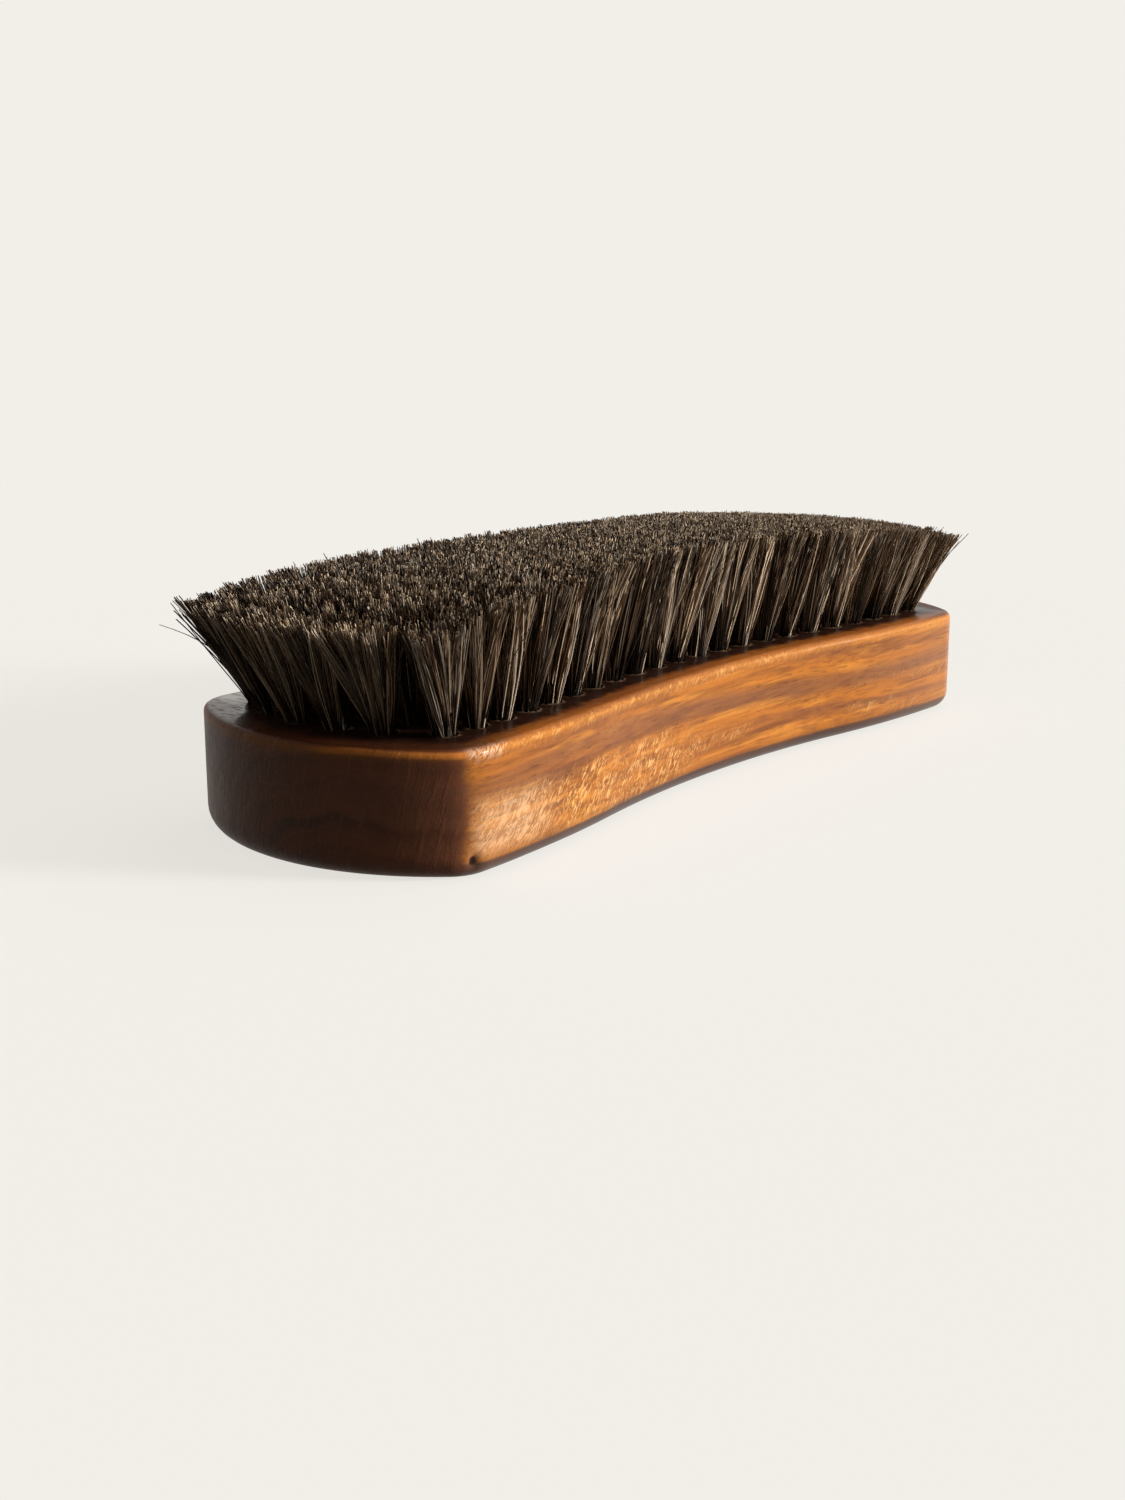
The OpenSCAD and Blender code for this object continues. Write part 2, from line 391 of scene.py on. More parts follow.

    # Painted highlights lie along the rounded top edge and the end's top edge, with a painted glint near the
    # corner, and painted shade darkens the top face towards both ends, the tufts and the torn holes
    painted_glint = arris * band(x, (-0.0735, -0.0715), (-0.069, -0.063)) * fade(curl, 0.44, 0.56)
    painted_end_shade = fade(z, 0.0184, 0.019) * fade(abs(x), 0.054, 0.074)
    painted_edge_highlight = band(z + (cloud - 0.5) * 0.0008, (0.0175, 0.0181), (0.0184, 0.0188))
    painted_edge_highlight = painted_edge_highlight * end_grain * (1.0 - fade(y + wander * 0.03, -0.022, -0.002))
    ragged_painted_shade = graph.mark("shaded") + (grain(place, (620, 900, 1), (1, 4, 2), 3.0, 0.6) - 0.5) * 0.5
    base = graph.layers(
        base,
        (end_grain * 0.94, soaked_and_shaded),
        (painted_sheen, (0.93, 0.58, 0.31)),
        # Painted highlight along the rounded top edge
        (arris * (0.5 - 0.3 * end_grain), (0.74, 0.27, 0.036)),
        # Painted shade on the top face, deepest at the ends and among the tufts
        (fade(z, 0.0182, 0.0188) * 0.5, (0.26, 0.058, 0.012)),
        (painted_glint * 0.6, (0.98, 0.74, 0.6)),
        (painted_end_shade * 0.78, (0.032, 0.01, 0.005)),
        (painted_edge_highlight * 0.8, (0.95, 0.3, 0.05)),
        (fade(ragged_painted_shade, 0.14, 0.62), (0.024, 0.009, 0.005)),
        (graph.mark("torn") * 0.45, (0.5, 0.31, 0.18)),
    )

    # The lacquer is thickest on the far part of the face, where it shines in fine lines
    far_face = fade(z, 0.0186, 0.019) * fade(y + wander * 0.014, 0.002, 0.016)
    lacquer_lines = grain(place, (1300, 260, 1), (2, 2, 2), 3.0, 0.6)
    far_face = far_face * (1.0 - 0.85 * fade(lacquer_lines, 0.52, 0.6))
    ripple = grain(place, (110, 300, 300), (4, 4, 4), 3.0)
    height = ripple + fibre * 0.16 + curl * (0.12 + 0.45 * curl_room) + ray * end_grain * 0.15
    bump = graph.node("ShaderNodeBump", {"Height": height, "Strength": 0.5, "Distance": 0.3 * MM})
    wires = {
        "Base Color": base,
        "Roughness": 0.24 + 0.16 * fibre + 0.14 * end_grain,
        "Coat Weight": 0.14 - 0.11 * end_grain + 0.55 * far_face,
        "Normal": bump.out(0),
    }
    attach(graph, shader, wires)
    return material


def horsehair(settings):
    """Mixed dark and grey hair, darker at the root, with its shade stored on each hair."""
    material, graph, shader = new_material("horsehair", {"Specular IOR Level": 0.1, "IOR": 1.55})
    shade = graph.mark("shade")
    stops = [
        (0.0, settings.dark),
        (0.34, (settings.dark + settings.middle) * 0.5),
        (0.62, settings.middle),
        (0.82, (settings.middle + settings.pale) * 0.5),
        (1.0, settings.pale),
    ]
    ramp = graph.ramp(shade, stops)
    hue = graph.mix(graph.mark("greying") * shade, ramp, settings.grey)
    # Pale hairs show further down than dark ones before the shade of the tufts takes them
    shown = graph.mark("along") + 0.4 * shade * shade - 0.5 * graph.mark("inner")
    rooted = graph.mix(graph.fade(shown, 0.14, 0.58), settings.dark, hue)
    attach(graph, shader, {"Base Color": rooted, "Roughness": 0.42 + 0.12 * shade})
    return material


def flat_wire():
    """Drawn flat steel wire."""
    material, graph, shader = new_material("flat_wire", {"Metallic": 1.0})
    drawn = graph.grain(graph.node("ShaderNodeTexCoord").out("Object"), (900, 9000, 9000), detail=3.0)
    colour = graph.mix(drawn, (0.42, 0.41, 0.39), (0.66, 0.65, 0.62))
    attach(graph, shader, {"Base Color": colour, "Roughness": 0.26 + 0.2 * drawn})
    return material


class Outline:
    """The block's outline, seen from above, as tangent arcs."""

    def __init__(self, settings):
        self.half_length = (BLOCK_HIGH.x - BLOCK_LOW.x) / 2
        self.half_width = (BLOCK_HIGH.y - BLOCK_LOW.y) / 2
        waist_depth = self.half_width - settings.waist_width / 2
        self.shoulder_x = self.half_length - settings.shoulder_from_end
        bulge = settings.end_bulge
        self.end_radius = (self.half_width**2 + bulge**2) / (2 * bulge)
        self.end_centre = np.array([self.half_length - self.end_radius, 0.0])
        self.side_radius = (self.shoulder_x**2 + waist_depth**2) / (4 * waist_depth)
        self.shoulder_centre = np.array([self.shoulder_x, self.half_width - self.side_radius])
        self.waist_centre = np.array([0.0, self.half_width - waist_depth + self.side_radius])
        self.corner_radius = settings.corner_radius
        self.corner_centre = self._crossing()

    def _crossing(self):
        """The middle of the corner's arc, which touches the end's arc and the side's."""
        a, b = self.end_centre, self.shoulder_centre
        a_radius = self.end_radius - self.corner_radius
        b_radius = self.side_radius - self.corner_radius
        gap = np.linalg.norm(b - a)
        along = (b - a) / gap
        run = (a_radius**2 - b_radius**2 + gap**2) / (2 * gap)
        return a + run * along + math.sqrt(a_radius**2 - run**2) * np.array([-along[1], along[0]])

    def ring(self, steps=(40, 22, 70, 70)):
        """Points right round the outline, each with the way that it faces."""
        end_turn = self._heading(self.end_centre, self.corner_centre)
        corner_turn = self._heading(self.shoulder_centre, self.corner_centre)
        side_turn = self._heading(self.shoulder_centre, self.waist_centre)
        arcs = [
            (self.end_centre, self.end_radius, 0.0, end_turn, 1),
            (self.corner_centre, self.corner_radius, end_turn, corner_turn, 1),
            (self.shoulder_centre, self.side_radius, corner_turn, side_turn, 1),
            (self.waist_centre, self.side_radius, side_turn - math.pi, -math.pi / 2, -1),
        ]
        points, ways = [], []
        for (centre, radius, start, stop, outward), count in zip(arcs, steps):
            turn = start + (stop - start) * np.arange(count) / count
            spoke = np.stack([np.cos(turn), np.sin(turn)], 1)
            points.append(centre + radius * spoke)
            ways.append(outward * spoke)
        points.append(np.array([[0.0, self.waist_centre[1] - self.side_radius]]))
        ways.append(np.array([[0.0, 1.0]]))
        rings = []
        for quarter in (np.concatenate(points), np.concatenate(ways)):
            upper = np.concatenate([quarter, quarter[-2::-1] * (-1, 1)])
            rings.append(np.concatenate([upper, upper[-2:0:-1] * (1, -1)]))
        return rings

    @staticmethod
    def _heading(start, stop):
        return math.atan2(stop[1] - start[1], stop[0] - start[0])


def hole_places():
    """The middle of every hole, row by row, read from the anchors that lie across them."""
    rows = []
    for name in ANCHOR_ROWS:
        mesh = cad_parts[name].data
        points = np.array([v.co for v in mesh.vertices])
        points = points[np.argsort(points[:, 1])]
        breaks = np.where(np.diff(points[:, 1]) > 2 * MM)[0] + 1
        groups = np.split(points, breaks)
        rows.append([(g.min(0)[:2] + g.max(0)[:2]) / 2 for g in groups])
    return rows


def placed(name, data):
    """A new object with this data, linked to the scene."""
    piece = bpy.data.objects.new(name, data)
    bpy.context.scene.collection.objects.link(piece)
    return piece


def distances(places, x, y):
    """How far each place lies from one point, seen from above."""
    return np.hypot(places[:, 0] - x, places[:, 1] - y)


def finish_mesh(name, points, faces, material, marks, sharp_degrees=None):
    """A smooth mesh as an object of the scene, with the values that its materials read from its points."""
    mesh = bpy.data.meshes.new(name)
    mesh.from_pydata([tuple(p) for p in points], [], faces)
    for label, values in marks.items():
        mesh.attributes.new(label, "FLOAT", "POINT").data.foreach_set("value", values)
    mesh.polygons.foreach_set("use_smooth", [True] * len(mesh.polygons))
    if sharp_degrees:
        mesh.set_sharp_from_angle(angle=math.radians(sharp_degrees))
    mesh.materials.append(material)
    return placed(name, mesh)


def side_profile(thick, settings):
    """The inset and height of each ring up the block's side, round both of its edges."""
    back, face = settings.back_edge_radius, settings.face_edge_radius
    profile = []
    for turn in np.linspace(0, math.pi / 2, 9):
        profile.append((back * (1 - math.sin(turn)), back * (1 - math.cos(turn))))
    for z in np.linspace(back, thick - face, 24)[1:-1]:
        profile.append((0.0, z))
    for turn in np.linspace(0, math.pi / 2, 7):
        profile.append((face * (1 - math.cos(turn)), thick - face * (1 - math.sin(turn))))
    return profile


def block_mesh(settings):
    """Points, faces and marks of the block: rings up its side, a flat back and a drilled face."""
    outline, ways = Outline(settings).ring()
    count = len(outline)
    thick = BLOCK_HIGH.z - BLOCK_LOW.z
    profile = side_profile(thick, settings)
    top = len(profile) - 1
    points, faces, pitted = [], [], []
    # A small pit in the side, beside the near lower corner
    pit = Vector((-0.0718, -0.0268, 0.0028))
    pit_radius = 0.85 * MM
    pit_depth = 0.8 * MM
    for level, (inset, z) in enumerate(profile):
        for (px, py), (wx, wy) in zip(outline, ways):
            spot = Vector((px, py, z))
            swell = noise.noise(spot * 55) + 0.5 * noise.noise(spot * 140)
            sink = settings.waviness * (1 + swell) * 0.5 if 0 < level < top else 0.0
            near = (spot - pit).length / pit_radius
            sink += pit_depth * math.exp(-near * near)
            points.append((px - (inset + sink) * wx, py - (inset + sink) * wy, z))
            pitted.append(math.exp(-1.7 * near * near))
    for level in range(top):
        for i in range(count):
            j = (i + 1) % count
            a, b = level * count, (level + 1) * count
            faces.append((a + i, a + j, b + j, b + i))
    add_flat_back(faces, count)
    end_grain = [way[0] ** 2 for way in ways] * len(profile)
    # Nearness to the rounding of the face's edge, where the wood gets painted highlights and flecks
    arris = []
    for _, z in profile:
        below_face = (thick - z) / settings.face_edge_radius
        arris += [max(0.0, 1.0 - abs(below_face - 0.75) / 0.9)] * count
    torn = [0.0] * len(points)
    first = top * count
    add_drilled_face(points, faces, count, first, thick, settings, torn)
    fill = [0.0] * (len(points) - len(end_grain))
    shaded = pitted[:first] + face_shade(points[first:], thick, settings)
    marks = {"end_grain": end_grain + fill, "arris": arris + fill, "shaded": shaded, "torn": torn}
    return points, faces, marks


def face_shade(points, thick, settings):
    """How dark the bristle face is at each point: black among the tufts, clear near the edge."""
    rows = hole_places()
    centres = np.array([place for row in rows for place in row])
    rim = np.array(rows[0] + [row[0] for row in rows] + [row[-1] for row in rows] + rows[-1])
    inner_rim = rim * (0.93, 0.88)
    fade_out = 3.3 * MM
    shades = []
    for px, py, pz in points:
        nearest = distances(centres, px, py).min()
        among_tufts = distances(inner_rim, px, py).min() < nearest
        in_hole = pz < thick - 1 * MM
        out = max(nearest - settings.hole_diameter / 2, 0.0) / fade_out
        shades.append(1.0 if in_hole or among_tufts else 0.92 * math.exp(-out * out))
    return shades


def add_flat_back(faces, count):
    """Strips between the two sides close the back."""
    for i in range(count // 2):
        strip = (i, (count - i) % count, (count - i - 1) % count, i + 1)
        corners = tuple(dict.fromkeys(strip))
        if len(corners) > 2:
            faces.append(corners)


def add_drilled_face(points, faces, count, first, thick, settings, torn_marks):
    """Triangles round the holes, a rough raised lip round each, and the holes themselves."""
    radius = settings.hole_diameter / 2
    lip_steps = 26
    inner_lip = 0.22 * MM
    outer_lip = 0.5 * MM
    seen_depth = 5 * MM
    flat = [Vector(points[first + i][:2]) for i in range(count)]
    edges = [(i, (i + 1) % count) for i in range(count)]
    holes = [place for row in hole_places() for place in row]
    turns = np.arange(lip_steps) * 2 * math.pi / lip_steps
    for place in holes:
        for size in (radius, radius + inner_lip, radius + outer_lip):
            start = len(flat)
            flat += [Vector((place[0] + size * math.cos(t), place[1] + size * math.sin(t))) for t in turns]
            edges += [(start + i, start + (i + 1) % lip_steps) for i in range(lip_steps)]
    spots, _, triangles, origins, _, _ = delaunay_2d_cdt(flat, edges, [], 1, 1e-7)
    centres = np.array(holes)
    index = {}
    for k, (spot, sources) in enumerate(zip(spots, origins)):
        if any(s < count for s in sources):
            index[k] = first + min(sources)
            continue
        nearest = distances(centres, spot.x, spot.y).min()
        torn = noise.noise(Vector((spot.x, spot.y, 0.3)) * 1400)
        lift, mark = 0.0, 0.0
        if nearest < radius + 0.1 * MM:
            lift = 0.14 * MM + 0.2 * MM * torn
            mark = max(0.0, 0.5 + 1.4 * torn)
        elif nearest < radius + 0.3 * MM:
            lift = 0.08 * MM + 0.12 * MM * torn
            mark = max(0.0, 0.2 + 0.9 * torn)
        index[k] = len(points)
        points.append((spot.x, spot.y, thick + lift))
        torn_marks.append(min(mark, 1.0))
    for tri in triangles:
        middle = sum((spots[k] for k in tri), Vector((0, 0))) / 3
        if distances(centres, middle.x, middle.y).min() > radius * 0.995:
            faces.append(tuple(index[k] for k in tri))
    add_hole_walls(points, faces, spots, index, centres, radius, thick - seen_depth)
    torn_marks += [0.0] * (len(points) - len(torn_marks))


def add_hole_walls(points, faces, spots, index, centres, radius, bottom):
    """A wall and a floor for each hole, hung from the inner edge of its lip."""
    plan = np.array([tuple(s) for s in spots])
    for centre in centres:
        gaps = distances(plan, *centre)
        rim = list(np.where(abs(gaps - radius) < 0.02 * MM)[0])
        rim.sort(key=lambda k: math.atan2(plan[k, 1] - centre[1], plan[k, 0] - centre[0]))
        start = len(points)
        points += [(plan[k, 0], plan[k, 1], bottom) for k in rim]
        steps = len(rim)
        for i in range(steps):
            j = (i + 1) % steps
            faces.append((index[rim[i]], index[rim[j]], start + j, start + i))
        faces.append(tuple(start + i for i in range(steps)))


class HairGraph(Graph):
    """The hair's node tree, with its inputs, its random draws and the values stored on its points."""

    def __init__(self, settings):
        super().__init__(bpy.data.node_groups.new("hair", "GeometryNodeTree"))
        face = self.tree.interface
        face.new_socket("Geometry", in_out="OUTPUT", socket_type="NodeSocketGeometry")
        face.new_socket("Tufts", in_out="INPUT", socket_type="NodeSocketGeometry")
        for name, value in (
            ("Hairs per tuft", settings.per_tuft),
            ("Hole radius", 1.35 * MM),
            ("Thickness", settings.thickness),
            ("Length", settings.length),
            ("End trim", settings.end_trim),
            ("Trim slope", settings.trim_slope),
            ("End lean", settings.end_lean),
            ("Side lean", settings.side_lean),
            ("Root depth", 1.2 * MM),
            ("Uneven trim", 1.3 * MM),
            ("Bend", 0.6 * MM),
            ("Stray", 0.3 * MM),
            ("Wild", 4.0 * MM),
            ("Fanning", 2.5 * MM),
            ("Bundle size", 1.15 * MM),
            ("Gathering", 0.7),
            ("Segments", 5),
            ("Seed", 1),
        ):
            kind = "NodeSocketInt" if isinstance(value, int) else "NodeSocketFloat"
            socket = face.new_socket(name, in_out="INPUT", socket_type=kind)
            socket.default_value = value
        self.given = self.node("NodeGroupInput").out

    def chance(self, draw, low=0.0, high=1.0):
        """A random value for each hair. Every draw and every row has its own."""
        sockets = {2: low, 3: high, "Seed": self.one("ADD", self.given("Seed") * 97, draw)}
        return self.node("FunctionNodeRandomValue", sockets, data_type="FLOAT").out(1)

    def stored(self, name, kind="FLOAT"):
        made = self.node("GeometryNodeInputNamedAttribute", {"Name": name}, data_type=kind)
        return made.out("Attribute")

    def stored_vector(self, name):
        return self.stored(name, "FLOAT_VECTOR")

    def store(self, geometry, name, value):
        kind = "FLOAT_VECTOR" if value.socket.type == "VECTOR" else "FLOAT"
        sockets = {"Geometry": geometry, "Name": name, "Value": value}
        made = self.node("GeometryNodeStoreNamedAttribute", sockets, data_type=kind, domain="POINT")
        return made.out(0)

    def turned(self, kind, geometry, sockets=None):
        """What a geometry node of this kind makes of a geometry, its first input."""
        return self.node("GeometryNode" + kind, {0: geometry, **(sockets or {})}).out(0)

    def moved(self, path, name, share):
        """A path with a share of a stored vector added to it."""
        sockets = {0: self.stored_vector(name), "Scale": share}
        way = self.node("ShaderNodeVectorMath", sockets, operation="SCALE").out(0)
        return self.node("ShaderNodeVectorMath", {0: path, 1: way}, operation="ADD").out(0)


def hair_points(graph):
    """A point at the root of each hair, which carries the hair's path, size and shade."""
    given, chance, stored, stored_vector = graph.given, graph.chance, graph.stored, graph.stored_vector
    one, fade, joined = graph.one, graph.fade, graph.joined
    dots = graph.turned("MeshToPoints", given("Tufts"))
    sockets = {"Geometry": dots, "Amount": given("Hairs per tuft")}
    copies = graph.node("GeometryNodeDuplicateElements", sockets, domain="POINT")
    number = copies.out("Duplicate Index")

    # A sunflower layout fills the round hole evenly, and the hair above spreads over the tuft's oblong room
    share = one("SQRT", (number + 0.5) / given("Hairs per tuft"))
    golden = math.pi * (3 - math.sqrt(5))
    turn = number * golden + stored("spin")
    east, north = one("COSINE", turn), one("SINE", turn)
    widest = one("MAXIMUM", abs(east), abs(north))
    reach = given("Hole radius") * share
    root_x, root_y = east * reach, north * reach
    low_x, low_y, _ = graph.parts(stored_vector("room_low"))
    high_x, high_y, _ = graph.parts(stored_vector("room_high"))

    def room(way, low, high):
        square = way * share / widest
        return one("MAXIMUM", square, 0.0) * high + one("MINIMUM", square, 0.0) * low

    room_x, room_y = room(east, low_x, high_x), room(north, low_y, high_y)

    # The lean grows smoothly towards the ends and the sides
    place_x, place_y, _ = graph.parts(graph.node("GeometryNodeInputPosition").out(0))
    reach_x, reach_y, _ = graph.parts(stored_vector("reach"))
    u, v = (place_x + room_x) / reach_x, (place_y + room_y) / reach_y
    end_slope = one("TANGENT", given("End lean") * u * abs(u) ** 3.6)
    outward = 0.64 + 0.36 * u * u * abs(u)
    side_slope = one("TANGENT", given("Side lean") * v * outward)
    steep = 1.0 / one("SQRT", 1.0 + end_slope * end_slope + side_slope * side_slope)
    length = given("Length") - given("End trim") * u * u - given("Trim slope") * u
    height = length * steep
    trim = chance(5) ** 2.0 * given("Uneven trim")

    # One hair in a hundred strays much further than the rest
    wild = one("GREATER_THAN", chance(12), 0.99)
    stray = given("Stray") * (0.5 + chance(11)) + wild * given("Wild")

    # Neighbouring hairs of a tuft lie together in bundles, tightest at half their height
    bundle_place = joined(room_x, room_y, stored("spin") * given("Bundle size") * 4.0)
    sockets = {"Vector": bundle_place, "Scale": 1.0 / given("Bundle size")}
    bundle = graph.node("ShaderNodeTexVoronoi", sockets)
    middle_x, middle_y, _ = graph.parts(bundle.out("Position"))
    gathering = given("Gathering")
    bundle_red, bundle_green, bundle_blue = graph.parts(bundle.out("Color"))

    # Each bundle also slants its own way, the outer ones most, so that bundles cross each other
    hole_u, hole_v = abs(place_x / reach_x), abs(place_y / reach_y)
    outer = fade(one("MAXIMUM", hole_u, hole_v), 0.6, 0.84)
    slant = one("FRACT", bundle_blue * 7.0 + bundle_red * 3.0) * 2.0 * math.pi
    fanning = given("Fanning") * bundle_green * (0.06 + 0.94 * outer)
    spread_x = room_x + chance(1, -1.0, 1.0) * stray + one("COSINE", slant) * fanning
    spread_y = room_y + chance(2, -1.0, 1.0) * stray + one("SINE", slant) * fanning
    bend_x, bend_y = chance(3, -1.0, 1.0) * given("Bend"), chance(4, -1.0, 1.0) * given("Bend")

    # Shades vary by hair and by bundle, and some hairs are bright. Painted light pales all of them towards
    # the far end and pales the end rows more
    bright = one("GREATER_THAN", chance(14) + outer * 0.045, 0.97)
    painted_end_light = fade(abs(u), 0.9, 1.0)
    shade = (chance(6) - 0.5) * (1.45 - 0.55 * outer) + (bundle_red - 0.5) * (0.3 + 0.6 * outer)
    shade = shade + 0.44 + bright * 0.55 + u * 0.07 + painted_end_light * 0.12
    shade = shade + (0.72 - shade) * 0.56 * fade(u, 0.25, 0.95)

    points = copies.out("Geometry")
    for name, value in (
        ("travel", joined(spread_x - root_x, spread_y - root_y, 0.0)),
        ("lean", joined(end_slope * height, side_slope * height, 0.0)),
        ("inner", 1.0 - outer),
        ("bend", joined(bend_x, bend_y, 0.0)),
        ("rise", height + given("Root depth") - trim),
        ("shade", graph.node("ShaderNodeClamp", {0: shade}).out(0)),
        ("greying", fade(bundle_blue + chance(13, -0.3, 0.3), 0.45, 0.85)),
        ("gather", joined((middle_x - room_x) * gathering, (middle_y - room_y) * gathering, 0.0)),
        ("size", chance(7, 0.72, 1.25)),
    ):
        points = graph.store(points, name, value)
    root = joined(root_x, root_y, given("Root depth") * -1.0)
    return graph.turned("SetPosition", points, {"Offset": root})


def hair_tree(settings, material):
    """Geometry nodes that turn each tuft's point into hairs fanning out of its hole."""
    graph = HairGraph(settings)
    given, stored, turned = graph.given, graph.stored, graph.turned
    line = graph.node("GeometryNodeCurvePrimitiveLine").out(0)
    line = turned("ResampleCurve", line, {"Count": given("Segments") + 1})
    hairs = turned("InstanceOnPoints", hair_points(graph), {"Instance": line})
    hairs = turned("RealizeInstances", hairs)

    # The line's own rise from 0 to 1 is taken off, and the hair's path is put in its place
    step = graph.node("GeometryNodeSplineParameter").out("Factor")
    bulge = graph.one("SINE", step * math.pi)
    path = graph.joined(0.0, 0.0, stored("rise") * step - step)
    shares = {"travel": step**1.35, "lean": step**1.15, "bend": bulge, "gather": bulge * 0.75}
    for name, share in shares.items():
        path = graph.moved(path, name, share)
    hairs = turned("SetPosition", hairs, {"Offset": path})
    hairs = graph.store(hairs, "along", step)
    width = given("Thickness") * 0.5 * stored("size") * (1.0 - step * 0.28)
    hairs = turned("SetCurveRadius", hairs, {"Radius": width})
    triangle = {"Resolution": 3, "Radius": 1.0}
    section = graph.node("GeometryNodeCurvePrimitiveCircle", triangle, mode="RADIUS").out(0)
    radius = graph.node("GeometryNodeInputRadius").out(0)
    tube = {"Profile Curve": section, "Scale": radius, "Fill Caps": True}
    skin = turned("CurveToMesh", hairs, tube)
    for name in (*shares, "rise", "size", "room_low", "room_high", "reach", "spin"):
        skin = turned("RemoveAttribute", skin, {"Name": name})
    skin = turned("SetShadeSmooth", skin, {"Shade Smooth": True})
    skin = turned("RealizeInstances", skin)
    skin = turned("SetMaterial", skin, {"Material": material})
    graph.node("NodeGroupOutput", {0: skin})
    return graph.tree


def hair_row(number, rows, tree, radius):
    """One crosswise row of tufts as a plain mesh."""
    places = rows[number]
    last_row, last_place = len(rows) - 1, len(places) - 1
    widest = max(place[1] for place in places)
    y_half = widest / last_place
    lows, highs, reaches, spins = [], [], [], []
    for k in range(len(places)):
        longest = max(abs(row[k][0]) for row in rows)
        x_half = longest / last_row
        # Outside the outer holes there is no neighbour to meet, so the room ends at the hole
        lows += [x_half if number > 0 else radius, y_half if k > 0 else radius, 0.0]
        highs += [x_half if number < last_row else radius, y_half if k < last_place else radius, 0.0]
        reaches += [longest + radius, widest + radius, 1.0]
        spins.append((number * 7 + k * 3) % 11 * 0.57)
    mesh = bpy.data.meshes.new("tufts")
    mesh.from_pydata([(x, y, BLOCK_HIGH.z) for x, y in places], [], [])
    for name, kind, field, values in (
        ("room_low", "FLOAT_VECTOR", "vector", lows),
        ("room_high", "FLOAT_VECTOR", "vector", highs),
        ("reach", "FLOAT_VECTOR", "vector", reaches),
        ("spin", "FLOAT", "value", spins),
    ):
        mesh.attributes.new(name, kind, "POINT").data.foreach_set(field, values)
    piece = placed(f"hair_row_{number + 1:02d}", mesh)
    modifier = piece.modifiers.new("hair", "NODES")
    modifier.node_group = tree
    seed = next(item.identifier for item in tree.interface.items_tree if item.name == "Seed")
    modifier[seed] = number + 1
    depsgraph = bpy.context.evaluated_depsgraph_get()
    plain = bpy.data.meshes.new_from_object(piece.evaluated_get(depsgraph), depsgraph=depsgraph)
    piece.modifiers.clear()
    piece.data = plain
    bpy.data.meshes.remove(mesh)
    return piece


def add_loose_hairs(piece, root_place, thickness):
    """Joins the few long hairs that hang out of one tuft, each a thin bent tube, to its row's own mesh."""
    points, faces = [], []
    sides, steps = 3, 9
    root = Vector((root_place[0] - 1.4 * MM, root_place[1], BLOCK_HIGH.z - 1 * MM))
    for lean_x, lean_y, rise, droop in (
        (-9.0, 10.6, 12.0, -2.0),
        (-9.4, 6.6, 14.6, 0.7),
        (-8.8, 6.9, 13.2, 0.6),
        (-9.6, 6.0, 16.2, 0.4),
    ):
        first = len(points)
        for step in range(steps + 1):
            run = step / steps
            lean = run**1.4
            height = (rise + 1.0) * run - droop * math.sin(math.pi * run)
            spot = root + MM * Vector((lean_x * lean, lean_y * lean, height))
            radius = thickness * (0.95 - 0.25 * run)
            for side in range(sides):
                turn = 2 * math.pi * side / sides
                points.append(spot + radius * Vector((math.cos(turn), math.sin(turn), 0)))
        for step in range(steps):
            for side in range(sides):
                a = first + step * sides + side
                b = first + step * sides + (side + 1) % sides
                faces.append((a, b, b + sides, a + sides))
        faces.append(tuple(first + side for side in reversed(range(sides))))
        faces.append(tuple(first + steps * sides + side for side in range(sides)))
    ones, zeros = [1.0] * len(points), [0.0] * len(points)
    marks = {"shade": zeros, "along": ones, "greying": zeros, "inner": zeros}
    extra = finish_mesh("loose_hairs", points, faces, piece.data.materials[0], marks)
    whole = bmesh.new()
    whole.from_mesh(piece.data)
    whole.from_mesh(extra.data)
    whole.to_mesh(piece.data)
    whole.free()
    bpy.data.objects.remove(extra)


def rays_that_see(graph):
    """1 for the rays that show the pale ground: to the camera, in a gloss or through glass."""
    path = graph.node("ShaderNodeLightPath")
    seen = graph.one("MAXIMUM", path.out("Is Camera Ray"), path.out("Is Transmission Ray"))
    return graph.one("MAXIMUM", seen, path.out("Is Glossy Ray"))


